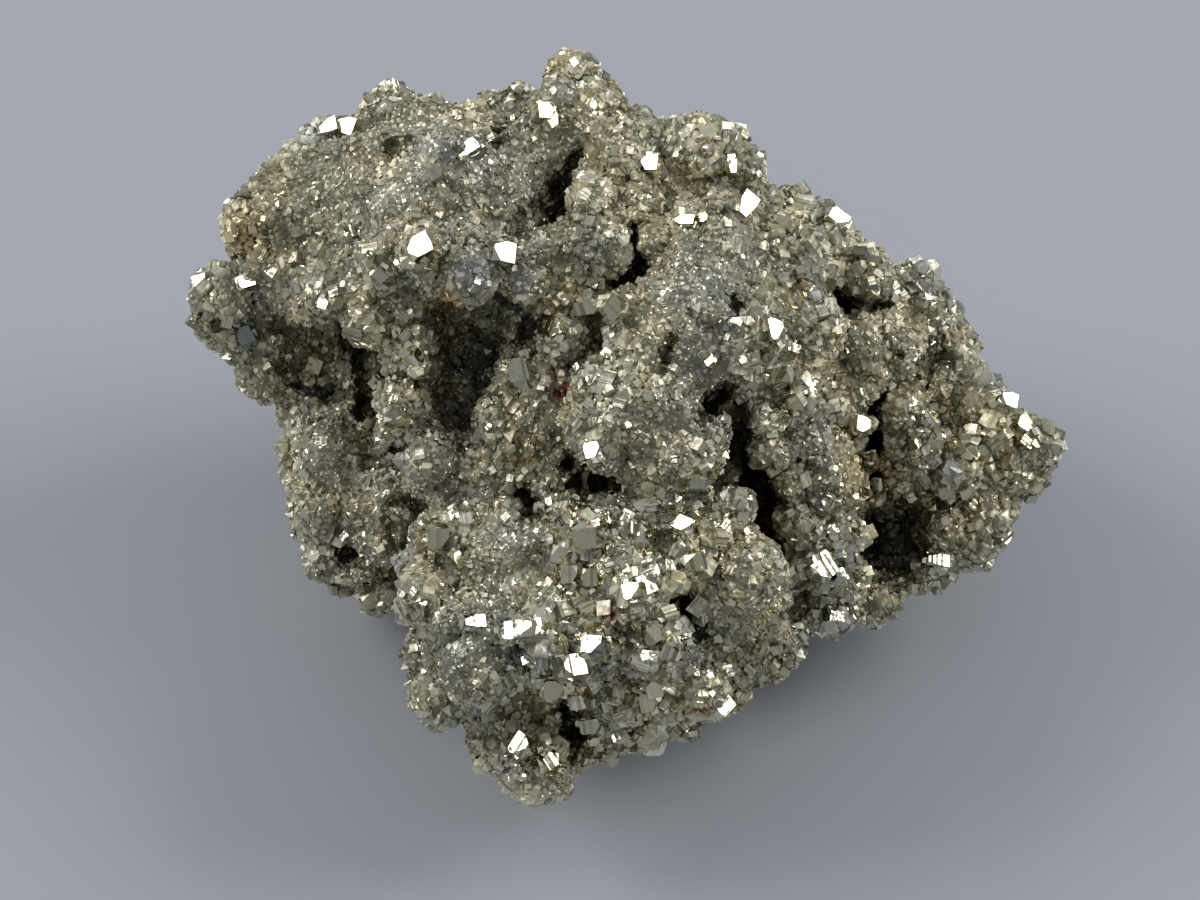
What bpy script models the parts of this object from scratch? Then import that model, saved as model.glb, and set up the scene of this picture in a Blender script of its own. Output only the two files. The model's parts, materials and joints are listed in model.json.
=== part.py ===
"""A pyrite specimen: one intergrown mass of rounded lumps, parted by clefts and set with flat-faced crystals.

It rests on a small flat spot, and the origin is below its middle, on that spot's level. Metres, +Z up.
"""

import itertools
import math
import random

import bmesh
import bpy
from mathutils import Euler, Matrix, Vector
from mathutils.bvhtree import BVHTree
from mathutils.kdtree import KDTree

MM = 0.001

# The lumps are placed as a viewer sees them who looks down on the front of the specimen.
SIGHT_ELEVATION = math.radians(50)
SIGHT_DISTANCE = 320
MIDDLE_HEIGHT = 20.5  # millimetres from the flat spot up to the middle of the view

ACROSS = Vector((1, 0, 0))
UP_THE_VIEW = Vector((0, math.sin(SIGHT_ELEVATION), math.cos(SIGHT_ELEVATION)))
TOWARD_VIEWER = Vector((0, -math.cos(SIGHT_ELEVATION), math.sin(SIGHT_ELEVATION)))

# Rounded cores that the lumps grow from: across, up and toward the viewer, then the three half widths, in mm.
CORES = (
    ((2, 2, -4), (24, 20, 17)),
    ((-17, 14, -3), (14, 9, 11)),
    ((19, -1, -7), (13, 10.5, 11)),
    ((-2.5, -16.5, 5), (13, 9, 11)),
    ((-20, -6, -6), (8, 9, 8)),
)

# The heavy foot below the cores: x, y and z from the middle of the view, then the three half widths, in mm.
FOOT = ((0, -1, -9), (22, 17, 12.4))

# Each lump is a ball: across, up and toward the viewer, then its radius, in mm.
LUMPS = {
    "upper left dome": (
        (-15.5, 18, 7, 9),
        (-25, 15.5, 2, 8),
        (-31.25, 16.25, 2, 2.6),
        (-32.5, 8.75, 1, 4),
        (-30, 4.75, 0, 2.8),
        (-20, 25.75, 0, 3),
        (-25, 22.25, 1, 3),
        (-10, 24, 3, 4.2),
        (-22, 20.5, 5, 4),
    ),
    "top knobs": (
        (-3.75, 28, 2, 3),
        (-2.5, 25.5, 3, 3.2),
        (-5.5, 23.75, 8, 4),
        (1, 24, 3, 2),
    ),
    "edge of the dome": (
        (-13, 12.5, 15, 3.4),
        (-16, 14, 14, 2.6),
        (-8, 13.5, 13.5, 3.2),
        (-19.5, 12.5, 12, 3.4),
        (-23.75, 11, 8, 4),
    ),
    "hanging finger": (
        (-18.25, 7.5, 10.5, 3.1),
        (-18.25, 4, 9.5, 2.9),
        (-18.25, 0.25, 8.5, 2.7),
        (-20.75, 9, 10, 2.6),
    ),
    "behind the finger": (
        (-24.5, 3, -2.5, 4.6),
        (-27.5, 7, -3.5, 4.4),
        (-20, 3, -1, 5),
    ),
    "lower left": (
        (-23, -4.5, 0, 5.2),
        (-22.5, -10, 0, 4.7),
        (-26.25, -0.75, -1, 3),
        (-20, -6.5, 3, 3.6),
    ),
    "middle": (
        (-15.75, -4, 9, 3.3),
        (-11.25, -4.25, 10, 3.2),
        (-7.5, -0.75, 10, 3.6),
        (-9.75, 1.75, 9, 3),
        (-5, 4.25, 11, 4),
        (-4.25, 9.75, 12, 3.6),
        (-3, 16.25, 13, 4.2),
        (-0.5, 20.75, 10, 4),
    ),
    "saddle above the lower lobe": (
        (-10.5, -8.25, 11, 3),
        (-6.25, -7.75, 12.5, 3),
        (-1.5, -8.25, 13.5, 3.2),
        (3.25, -7.25, 14, 3.2),
        (7, -8.5, 13.5, 3),
    ),
    "upper right": (
        (6.5, 20.25, 7, 5),
        (9.5, 18.5, 5, 3.4),
        (2.75, 22.5, 7, 3.6),
    ),
    "centre ridge": (
        (5.75, 13.25, 13, 5.5),
        (3.25, 7.5, 15, 5.2),
        (7.75, 6.75, 15, 5),
        (1, 1.75, 16, 5.2),
        (-1.25, -0.75, 16, 3.6),
        (5.25, -1.5, 16, 4.2),
        (2.25, -4, 15.5, 3.2),
    ),
    "right rib": (
        (12.75, 14.25, 9, 4.5),
        (14.25, 7.5, 11, 4.6),
        (13.5, 1, 13, 3.8),
        (16, -4.75, 11, 4),
        (15.5, -10.5, 9, 4),
        (16.75, -15, 6, 3.6),
    ),
    "right lobe": (
        (19.25, 11, 4, 4),
        (24.25, 9.5, 1, 3.4),
        (22.5, 5, 5, 4),
        (26.75, 5.25, 0, 2.8),
        (23, -0.75, 5, 3.4),
        (27.5, -0.75, 1, 4.2),
        (32.5, -2.5, -2, 4),
        (28.75, -8, -2, 4.2),
        (25, -11.75, -3, 3.6),
        (20, -14.75, -2, 3),
    ),
    "lower lobe": (
        (-14.5, -11.5, 12, 4.4),
        (-8.75, -11.5, 15, 4.6),
        (-2.25, -11.5, 16, 4.6),
        (-13, -18, 14, 5.6),
        (-14.5, -21.25, 12, 4),
        (-5.5, -18, 17, 5),
        (1, -16.25, 17, 5.2),
        (7.75, -12.25, 15, 5.4),
        (9.25, -16.25, 12, 4.6),
        (11.75, -18.75, 9, 3.6),
        (3.5, -20.5, 13, 4.8),
        (-8.75, -26.25, 10, 4.4),
        (-6.25, -27.5, 9, 3.4),
        (-1.25, -23.75, 11, 3.6),
        (0.5, -25, 8, 3),
        (4.5, -24.25, 7, 3),
        (8, -22, 6, 3),
    ),
}

LUMP_ALLOWANCE = 0.4  # taken off each lump's radius, for the knobs that cover it

# Dark clefts and pits: across, up and toward the viewer, then radius and depth each way, in mm.
PITS = {
    "hollow under the dome": (
        (-13, 6.25, 10, 2.5, 7),
        (-13.75, 3, 10, 2, 6),
        (-11.75, 7.75, 12, 1.8, 5),
        (-14.25, 0.5, 10, 1.4, 5),
        (-8, 8, 11, 1.1, 4),
    ),
    "left of the finger": (
        (-21.5, 4, 8, 1.2, 5),
        (-21.75, 1, 7, 1.1, 5),
        (-25.5, 3.25, 5, 1.9, 5),
        (-27.75, 5, 4, 1.6, 5),
        (-23.75, 8.5, 8, 1.1, 4),
    ),
    "upper cleft": (
        (-4, 21.75, 11.5, 1.2, 4),
        (-5.25, 19.75, 12.5, 1.2, 4),
        (-6, 17.75, 12.5, 1.1, 4),
    ),
    "cleft left of the ridge": (
        (1, 15.25, 15, 1.1, 5),
        (0.5, 13.25, 15, 1.1, 5),
        (-0.25, 11.25, 14, 1.1, 4),
    ),
    "cleft right of the ridge": (
        (7.5, 1.75, 17, 1.1, 4),
        (9.75, -1.25, 14, 1.1, 5),
        (10.5, -4.25, 13, 1.9, 7),
        (11.5, -6.75, 12, 1.5, 7),
        (12.25, -9, 11, 1.1, 5),
    ),
    "cleft before the right lobe": (
        (20.75, 1, 5, 1.1, 6),
        (20.25, -1.75, 4, 1.1, 6),
        (20.25, -4.75, 3, 1.1, 5),
        (21.5, -7.5, 1, 2, 5),
        (22.25, -10, 0, 2.3, 5),
        (23.25, -8.5, 0, 1.6, 4),
    ),
    "small pits": (
        (25, 5.5, 3, 1.1, 4),
        (9, 10, 16, 1.1, 4),
        (-9, -6.75, 13, 1.1, 4),
        (-4.75, -4, 14, 1.1, 4),
        (-2.25, -5, 14, 1.1, 4),
        (-23.25, -11, 4, 1.1, 3),
        (-5.5, -23, 14, 1.1, 5),
        (-4.25, -25.75, 12, 1.1, 5),
        (4.5, -15.5, 17, 1.1, 5),
        (-18.75, 23, 4, 1.1, 4),
        (-10.5, 24, 6, 1.1, 4),
        (18.5, 10, 7, 1.1, 4),
    ),
}

# Lumps on the sides that the viewer doesn't see, spread evenly over the back and the underside.
BACK_LUMP_COUNT = 64
BACK_LUMP_RADII = (3.2, 5.6)

# Small knobs all over, like a head of cauliflower.
KNOB_COUNT = 420
KNOB_RADII = (1.3, 2.4)
KNOB_SPACING = 3.2
KNOB_DEPTH = 0.4  # of its radius, from the surface down to its centre
BALL_SUBDIVISIONS = 3

CORE_VOXEL = 0.8
KNOB_VOXEL = 0.5
MASS_TRIANGLES = 4950

# The ways that the large crystals' broad faces look. Most face up and a little left or right of the viewer.
FACE_WAYS = {
    "left": Vector((-0.47, -0.36, 0.8)),
    "right": Vector((0.47, -0.36, 0.8)),
    "viewer": Vector((0, -0.75, 0.66)),
}

# Large crystals on the side that the viewer sees: across and up the view, the broad face's width and height,
# its turn in degrees, and the way it looks. All sizes in mm.
LARGE_CRYSTALS = (
    (-22.75, 24.25, 1.8, 1.6, -15, "left"),
    (-24.25, 24.25, 1.6, 1.3, 20, "left"),
    (-16.5, 14.25, 2.1, 2.0, 25, "left"),
    (-18, 13.25, 1.5, 1.4, 10, "viewer"),
    (-10.5, 13.75, 1.8, 1.8, -12, "right"),
    (-12.75, 22.5, 2.0, 1.2, 30, "left"),
    (-15.75, 20.75, 1.6, 1.3, 30, "viewer"),
    (-31, 11.5, 1.8, 1.3, 15, "left"),
    (-7, 25.5, 1.4, 1.4, 0, "right"),
    (2.25, 21.25, 1.5, 1.4, 0, "left"),
    (9.5, 17.75, 2.1, 1.6, 50, "right"),
    (17.25, 16.75, 1.7, 1.2, -35, "right"),
    (13, 3.75, 1.4, 1.3, 10, "left"),
    (19.5, -0.5, 1.5, 1.4, -15, "right"),
    (31.25, 1.75, 1.5, 1.3, -20, "right"),
    (32.5, -0.25, 1.4, 1.6, 30, "right"),
    (12, 7.5, 1.2, 1.8, 5, "right"),
    (-3.25, -2.5, 1.4, 1.3, 10, "right"),
    (5, -8.5, 1.4, 1.2, -20, "left"),
    (-9, 4.5, 1.8, 2.4, 10, "viewer"),
    (-3.5, 9.5, 1.8, 1.6, 20, "viewer"),
    (-1, 9.5, 1.8, 1.8, 45, "viewer"),
    (16, -12.25, 1.8, 1.8, 30, "right"),
    (25.5, -11.5, 2.0, 1.1, -10, "right"),
    (20.5, -5, 1.4, 1.4, -5, "viewer"),
    (-4.75, -20.25, 1.9, 1.8, 5, "right"),
    (-2.5, -18.5, 1.7, 1.5, -2, "left"),
    (-8.5, -17.25, 2.4, 1.6, 10, "left"),
    (-12.75, -16.5, 1.7, 1.1, 0, "right"),
    (-4.75, -12.5, 1.5, 1.8, 0, "viewer"),
    (-3, -12.75, 1.4, 1.8, 0, "viewer"),
    (0.75, -14, 1.4, 1.4, 20, "left"),
    (-15.5, -9.5, 2.0, 2.1, 0, "viewer"),
    (-3.5, -9.5, 2.1, 2.1, 10, "viewer"),
    (5.75, -11.5, 1.8, 1.8, 15, "viewer"),
    (3.5, -19, 1.5, 1.6, -20, "viewer"),
    (2.25, -22, 1.4, 1.8, 15, "viewer"),
    (1.75, -23, 1.6, 2.0, 10, "viewer"),
    (-6, -22, 1.8, 1.8, 0, "viewer"),
    (-4.5, -22, 1.8, 1.9, 0, "viewer"),
    (-3, -25, 1.9, 1.5, 10, "viewer"),
    (-6.5, -28, 1.4, 1.3, 30, "right"),
    (-8.5, -26.75, 1.4, 2.0, -30, "left"),
)

# More crystals all round, of three habits.
MORE_CRYSTAL_COUNT = 90
MORE_CRYSTAL_SIZES = (1.5, 2.6)
MORE_CRYSTAL_SPACING = 4.8
HABITS = ("cube", "cube", "blunt cube", "pyritohedron")

CRYSTAL_DEPTHS = (0, 0.5)  # of its half width, from the surface down to its middle
LARGE_CRYSTAL_LIFT = 0.3  # of its half depth, from the surface up to its middle
BLUNT_CORNER = 0.6
ROOF_REACH = 1.5  # a pyritohedron's roof edges, over its cube's faces
ROOF_HALF_LENGTH = 0.75
FLAT_ANGLE = math.radians(1)
GROUND_SIZE = 60

SEED = 7

PYRITE_COLOUR = (0.50, 0.46, 0.36, 1)
PYRITE_ROUGHNESS = 0.3


def clear_scene():
    for obj in list(bpy.data.objects):
        bpy.data.objects.remove(obj)


def from_middle(x, y, z):
    """A point given in mm from the middle of the view, in the part's frame."""
    return Vector((x, y, z + MIDDLE_HEIGHT)) * MM


def sighted(across, up, toward):
    """The point that the viewer sees so far across and up the view, and this much nearer than its middle."""
    shrink = 1 - toward / SIGHT_DISTANCE
    place = across * shrink * ACROSS + up * shrink * UP_THE_VIEW + toward * TOWARD_VIEWER
    return from_middle(*place)


VIEW_AXES = Matrix((ACROSS, UP_THE_VIEW, TOWARD_VIEWER)).transposed()


def points_and_faces(bm):
    bm.verts.index_update()
    points = [vert.co.copy() for vert in bm.verts]
    faces = [[vert.index for vert in face.verts] for face in bm.faces]
    bm.free()
    return points, faces


def unit_ball():
    bm = bmesh.new()
    bmesh.ops.create_icosphere(bm, subdivisions=BALL_SUBDIVISIONS, radius=1)
    return points_and_faces(bm)


def ellipsoid(centre, half_widths, axes=Matrix.Identity(3)):
    """The matrix that makes the unit ball an ellipsoid there, its half widths in mm along those axes."""
    stretch = Matrix.Diagonal(Vector(half_widths) * MM)
    return Matrix.Translation(centre) @ (axes @ stretch).to_4x4()


def ball(centre, radius):
    return ellipsoid(centre, (radius,) * 3)


def copies(name, shape, placings):
    """One object that holds a copy of the shape for each placing matrix."""
    shape_points, shape_faces = shape
    points = []
    faces = []
    for placing in placings:
        first = len(points)
        points += [placing @ point for point in shape_points]
        faces += [[first + corner for corner in face] for face in shape_faces]
    mesh = bpy.data.meshes.new(name)
    mesh.from_pydata(points, [], faces)
    obj = bpy.data.objects.new(name, mesh)
    bpy.context.scene.collection.objects.link(obj)
    return obj


def apply_modifiers(obj):
    graph = bpy.context.evaluated_depsgraph_get()
    mesh = bpy.data.meshes.new_from_object(obj.evaluated_get(graph))
    obj.modifiers.clear()
    obj.data = mesh


def fuse(obj, voxel):
    """One closed skin round all that obj holds."""
    remesh = obj.modifiers.new("Fuse", "REMESH")
    remesh.mode = "VOXEL"
    remesh.voxel_size = voxel * MM
    apply_modifiers(obj)


def boolean(obj, operation, other):
    step = obj.modifiers.new(operation.title(), "BOOLEAN")
    step.operation = operation
    step.solver = "EXACT"
    step.object = other
    apply_modifiers(obj)
    bpy.data.objects.remove(other)


def back_lumps(rng):
    """Balls on the far side of the cores and the foot, at even steps of a spiral over a sphere."""
    golden_angle = math.pi * (3 - math.sqrt(5))
    wholes = [(sighted(*centre), VIEW_AXES, widths) for centre, widths in CORES]
    wholes.append((from_middle(*FOOT[0]), Matrix.Identity(3), FOOT[1]))
    for centre, axes, widths in wholes:
        count = round(BACK_LUMP_COUNT * widths[0] * widths[1] / 1400)
        for i in range(count):
            level = 1 - 2 * (i + 0.5) / count
            ring = math.sqrt(1 - level * level)
            angle = i * golden_angle
            way = Vector((ring * math.cos(angle), ring * math.sin(angle), level))
            toward = (axes @ way).dot(TOWARD_VIEWER)
            radius = rng.uniform(*BACK_LUMP_RADII)
            if toward > -0.15:
                continue
            reach = Vector([w * c for w, c in zip(widths, way)]) * 0.9
            yield centre + axes @ reach * MM, radius


def rough_mass(rng):
    """The cores, the foot and every lump, fused."""
    parts = [ellipsoid(sighted(*centre), widths, VIEW_AXES) for centre, widths in CORES]
    parts.append(ellipsoid(from_middle(*FOOT[0]), FOOT[1]))
    for group in LUMPS.values():
        parts += [ball(sighted(*lump[:3]), lump[3] - LUMP_ALLOWANCE) for lump in group]
    parts += [ball(centre, radius) for centre, radius in back_lumps(rng)]
    mass = copies("pyrite_cluster", unit_ball(), parts)
    fuse(mass, CORE_VOXEL)
    return mass


def surface_points(obj, count, spacing, rng):
    """Up to count points on obj, at least spacing apart, each with the surface's outward direction there."""
    mesh = obj.data
    mesh.calc_loop_triangles()
    triangles = list(mesh.loop_triangles)
    picks = rng.choices(triangles, weights=[t.area for t in triangles], k=count * 12)
    places = []
    for triangle in picks:
        a, b, c = (mesh.vertices[i].co for i in triangle.vertices)
        s, t = sorted((rng.random(), rng.random()))
        places.append((a * s + b * (t - s) + c * (1 - t), triangle.normal.copy()))
    tree = KDTree(len(places))
    for i, (place, _) in enumerate(places):
        tree.insert(place, i)
    tree.balance()
    dropped = set()
    kept = []
    for i, (place, normal) in enumerate(places):
        if i in dropped:
            continue
        kept.append((place, normal))
        if len(kept) == count:
            break
        dropped.update(j for _, j, _ in tree.find_range(place, spacing * MM))
    return kept


def add_knobs(mass, rng):
    placings = []
    for place, normal in surface_points(mass, KNOB_COUNT, KNOB_SPACING, rng):
        radius = rng.uniform(*KNOB_RADII)
        placings.append(ball(place - normal * radius * KNOB_DEPTH * MM, radius))
    knobs = copies("knobs", unit_ball(), placings)
    bm = bmesh.new()
    bm.from_mesh(mass.data)
    bm.from_mesh(knobs.data)
    bm.to_mesh(mass.data)
    bm.free()
    bpy.data.objects.remove(knobs)
    fuse(mass, KNOB_VOXEL)


def cut_pits(mass):
    holes = []
    for group in PITS.values():
        for across, up, toward, radius, depth in group:
            holes.append(ellipsoid(sighted(across, up, toward), (radius, radius, depth), VIEW_AXES))
    pits = copies("pits", unit_ball(), holes)
    fuse(pits, KNOB_VOXEL)
    boolean(mass, "DIFFERENCE", pits)
    fuse(mass, KNOB_VOXEL)


def thin_out(obj, triangles):
    obj.data.calc_loop_triangles()
    decimate = obj.modifiers.new("Thin out", "DECIMATE")
    decimate.ratio = triangles / len(obj.data.loop_triangles)
    decimate.use_collapse_triangulate = True
    apply_modifiers(obj)


def crystal(habit):
    """(points, faces) of a crystal that fits round a cube 2 wide, with its middle at the origin."""
    corners = [Vector(signs) for signs in itertools.product((-1, 1), repeat=3)]
    if habit == "blunt cube":
        along = [(BLUNT_CORNER * a, b, c) for a, b, c in itertools.product((-1, 1), repeat=3)]
        corners = [Vector(turned(point, step)) for point in along for step in range(3)]
    elif habit == "pyritohedron":
        roofs = [(0, a * ROOF_REACH, b * ROOF_HALF_LENGTH) for a, b in itertools.product((-1, 1), repeat=2)]
        corners += [Vector(turned(point, step)) for point in roofs for step in range(3)]
    bm = bmesh.new()
    verts = [bm.verts.new(corner) for corner in corners]
    bmesh.ops.convex_hull(bm, input=verts)
    bmesh.ops.dissolve_limit(bm, angle_limit=FLAT_ANGLE, verts=bm.verts, edges=bm.edges)
    bmesh.ops.recalc_face_normals(bm, faces=bm.faces)
    return points_and_faces(bm)


def turned(point, step):
    return point[-step:] + point[:-step]


def large_crystal_placings(mass):
    """Boxes whose broad faces look the way that the table says, where the viewer's sight meets the mass."""
    tree = BVHTree.FromObject(mass, bpy.context.evaluated_depsgraph_get())
    eye = sighted(0, 0, SIGHT_DISTANCE)
    for across, up, width, height, turn, way in LARGE_CRYSTALS:
        hit = tree.ray_cast(eye, (sighted(across, up, 0) - eye).normalized())[0]
        if hit is None:
            continue
        out = FACE_WAYS[way].normalized()
        side = UP_THE_VIEW.cross(out).normalized()
        axes = Matrix((side, out.cross(side), out)).transposed() @ Matrix.Rotation(math.radians(turn), 3, "Z")
        depth = min(width, height)
        lifted = hit + out * depth / 2 * LARGE_CRYSTAL_LIFT * MM
        yield ellipsoid(lifted, (width / 2, height / 2, depth / 2), axes)


def more_crystal_placings(mass, rng):
    for place, normal in surface_points(mass, MORE_CRYSTAL_COUNT, MORE_CRYSTAL_SPACING, rng):
        half = rng.uniform(*MORE_CRYSTAL_SIZES) / 2
        spin = Euler([rng.uniform(0, math.tau) for _ in range(3)]).to_matrix()
        sunk = half * rng.uniform(*CRYSTAL_DEPTHS)
        yield ellipsoid(place - normal * sunk * MM, (half,) * 3, spin)


def add_crystals(mass, rng):
    collection = bpy.data.collections.new("crystals")
    bpy.context.scene.collection.children.link(collection)
    shapes = {habit: crystal(habit) for habit in HABITS}
    placings = [("cube", placing) for placing in large_crystal_placings(mass)]
    placings += [(rng.choice(HABITS), placing) for placing in more_crystal_placings(mass, rng)]
    for i, (habit, placing) in enumerate(placings):
        obj = copies(f"crystal_{i}", shapes[habit], [placing])
        bpy.context.scene.collection.objects.unlink(obj)
        collection.objects.link(obj)
    union = mass.modifiers.new("Crystals", "BOOLEAN")
    union.operation = "UNION"
    union.solver = "EXACT"
    union.operand_type = "COLLECTION"
    union.collection = collection
    apply_modifiers(mass)
    for obj in list(collection.objects):
        bpy.data.objects.remove(obj)
    bpy.data.collections.remove(collection)


def cut_flat(mass):
    """Leaves the small flat spot that the specimen rests on, at height 0."""
    box = crystal("cube")
    ground = copies("ground", box, [ellipsoid((0, 0, -GROUND_SIZE * MM), (GROUND_SIZE,) * 3)])
    boolean(mass, "DIFFERENCE", ground)


def pyrite_material():
    material = bpy.data.materials.new("pyrite")
    material.use_nodes = True
    shader = material.node_tree.nodes["Principled BSDF"]
    shader.inputs["Base Color"].default_value = PYRITE_COLOUR
    shader.inputs["Metallic"].default_value = 1
    shader.inputs["Roughness"].default_value = PYRITE_ROUGHNESS
    return material


def main():
    clear_scene()
    rng = random.Random(SEED)
    mass = rough_mass(rng)
    add_knobs(mass, rng)
    cut_pits(mass)
    thin_out(mass, MASS_TRIANGLES)
    add_crystals(mass, rng)
    cut_flat(mass)
    mass.data.materials.append(pyrite_material())


main()
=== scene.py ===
"""Looks of the pyrite specimen: its crust of crystals, its metal, and the photograph's view and light."""

import json
import math

import bmesh
import bpy
import numpy as np
from mathutils import Euler, Matrix, Vector, noise
from mathutils.bvhtree import BVHTree
from mathutils.kdtree import KDTree

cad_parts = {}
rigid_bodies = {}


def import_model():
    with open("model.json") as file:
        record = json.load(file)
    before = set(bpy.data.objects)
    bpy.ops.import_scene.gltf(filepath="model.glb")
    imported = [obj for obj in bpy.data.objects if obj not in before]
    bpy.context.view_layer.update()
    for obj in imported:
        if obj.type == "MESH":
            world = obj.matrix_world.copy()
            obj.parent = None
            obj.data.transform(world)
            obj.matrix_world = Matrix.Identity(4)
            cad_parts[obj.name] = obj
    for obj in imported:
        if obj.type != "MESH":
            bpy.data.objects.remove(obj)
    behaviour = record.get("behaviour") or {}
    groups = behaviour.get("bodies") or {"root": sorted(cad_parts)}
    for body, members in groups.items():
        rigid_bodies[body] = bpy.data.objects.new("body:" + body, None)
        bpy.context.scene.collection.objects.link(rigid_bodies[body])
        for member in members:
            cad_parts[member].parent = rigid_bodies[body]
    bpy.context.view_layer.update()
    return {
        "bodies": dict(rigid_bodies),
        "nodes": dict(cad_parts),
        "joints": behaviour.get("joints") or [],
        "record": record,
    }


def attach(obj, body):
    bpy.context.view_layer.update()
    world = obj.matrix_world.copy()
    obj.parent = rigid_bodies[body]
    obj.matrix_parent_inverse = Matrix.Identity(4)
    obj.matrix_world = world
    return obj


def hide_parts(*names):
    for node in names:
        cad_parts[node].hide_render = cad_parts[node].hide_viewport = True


MM = 0.001
NODE = "pyrite_cluster"

# The photograph's view
PHOTO_SIZE = (1200, 900)
SIGHT_ELEVATION = math.radians(50)
SIGHT_DISTANCE = 320  # mm
MIDDLE = Vector((0, 0, 20.5)) * MM
PIXELS = 12.11  # to a millimetre, at the middle of the specimen
MIDDLE_PIXEL = (626.5, 422)
ACROSS = Vector((1, 0, 0))
UP_THE_VIEW = Vector((0, math.sin(SIGHT_ELEVATION), math.cos(SIGHT_ELEVATION)))
TOWARD_VIEWER = Vector((0, -math.cos(SIGHT_ELEVATION), math.sin(SIGHT_ELEVATION)))
EYE = MIDDLE + TOWARD_VIEWER * SIGHT_DISTANCE * MM

# The ways that broad crystal faces look: they mirror the light at the left or at the right, or neither.
FACE_WAYS = {
    "left": Vector((-0.47, -0.36, 0.8)).normalized(),
    "right": Vector((0.47, -0.36, 0.8)).normalized(),
    "viewer": Vector((0, -0.75, 0.66)).normalized(),
}

# Crystals that stand out in the view: pixel across and down, width and height in pixels, turn in degrees,
# and the way that the broad face looks.
NOTED_CRYSTALS = (
    (351, 128, 22, 19, -15, "left"),
    (333, 128, 19, 16, 20, "left"),
    (427, 249, 25, 24, 25, "left"),
    (409, 262, 18, 17, 10, "viewer"),
    (499, 255, 22, 22, -12, "right"),
    (472, 150, 24, 15, 30, "left"),
    (436, 171, 19, 16, 30, "viewer"),
    (251, 283, 22, 16, 15, "left"),
    (542, 113, 17, 17, 0, "right"),
    (654, 165, 18, 17, 0, "left"),
    (742, 207, 25, 19, 50, "right"),
    (835, 219, 21, 15, -35, "right"),
    (784, 377, 17, 16, 10, "left"),
    (860, 427, 18, 17, -15, "right"),
    (1005, 401, 18, 16, -20, "right"),
    (1020, 425, 17, 19, 30, "right"),
    (772, 331, 15, 22, 5, "right"),
    (587, 452, 17, 16, 10, "right"),
    (687, 525, 17, 15, -20, "left"),
    (518, 368, 22, 29, 10, "viewer"),
    (584, 307, 22, 19, 20, "viewer"),
    (614, 307, 22, 22, 45, "viewer"),
    (820, 570, 22, 22, 30, "right"),
    (935, 561, 24, 13, -10, "right"),
    (875, 483, 17, 17, -5, "viewer"),
    (569, 667, 23, 22, 5, "right"),
    (596, 646, 21, 18, -2, "left"),
    (524, 631, 29, 19, 10, "left"),
    (472, 622, 21, 13, 0, "right"),
    (569, 573, 18, 22, 0, "viewer"),
    (590, 576, 17, 22, 0, "viewer"),
    (636, 592, 17, 17, 20, "left"),
    (439, 537, 24, 25, 0, "viewer"),
    (584, 537, 25, 25, 10, "viewer"),
    (696, 561, 22, 22, 15, "viewer"),
    (669, 652, 18, 19, -20, "viewer"),
    (654, 688, 17, 22, 15, "viewer"),
    (648, 701, 19, 24, 10, "viewer"),
    (554, 688, 22, 22, 0, "viewer"),
    (572, 688, 22, 23, 0, "viewer"),
    (590, 725, 23, 18, 10, "viewer"),
    (548, 761, 17, 16, 30, "right"),
    (524, 746, 17, 24, -30, "left"),
    (246, 334, 18, 22, 20, "viewer"),
    (353, 232, 14, 14, 10, "right"),
    (730, 165, 10, 20, 10, "right"),
    (550, 122, 14, 14, 30, "right"),
    (687, 221, 20, 10, 0, "left"),
    (973, 430, 14, 12, -10, "left"),
    (360, 341, 22, 9, -28, "right"),
    (447, 391, 11, 15, 0, "left"),
    (358, 447, 14, 13, 0, "right"),
    (712, 361, 10, 10, 40, "left"),
    (575, 518, 10, 15, 0, "right"),
    (848, 595, 12, 12, 20, "viewer"),
    (933, 507, 12, 12, 10, "left"),
    (551, 605, 11, 14, 10, "viewer"),
    (624, 592, 9, 22, 10, "right"),
    (457, 561, 11, 17, 30, "right"),
    (651, 719, 13, 13, 0, "right"),
    (622, 735, 15, 13, 30, "left"),
    (595, 741, 13, 10, 5, "viewer"),
    (591, 725, 22, 17, 10, "viewer"),
)

# Where the crust is fine or coarse: pixel across and down, reach in pixels, and how much coarser it is.
GRAIN_PATCHES = (
    (430, 175, 80, -0.9),
    (300, 200, 60, -0.5),
    (545, 175, 35, -0.8),
    (690, 270, 50, -0.9),
    (655, 340, 50, -0.9),
    (640, 420, 40, -0.7),
    (480, 650, 50, -1.0),
    (430, 460, 30, -0.8),
    (490, 560, 38, -0.8),
    (740, 560, 40, -0.6),
    (890, 330, 45, -0.7),
    (780, 425, 40, -0.5),
    (330, 470, 55, -0.5),
    (570, 80, 35, -0.6),
    (600, 600, 75, 0.9),
    (690, 530, 55, 0.7),
    (560, 680, 55, 0.8),
    (660, 680, 45, 0.6),
    (350, 320, 45, 0.6),
    (820, 540, 45, 0.5),
    (1000, 430, 60, 0.7),
    (930, 470, 45, 0.5),
    (780, 330, 45, 0.5),
    (830, 250, 40, 0.5),
    (530, 740, 45, 0.5),
    (590, 300, 35, 0.7),
    (720, 140, 50, 0.3),
)

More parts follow.
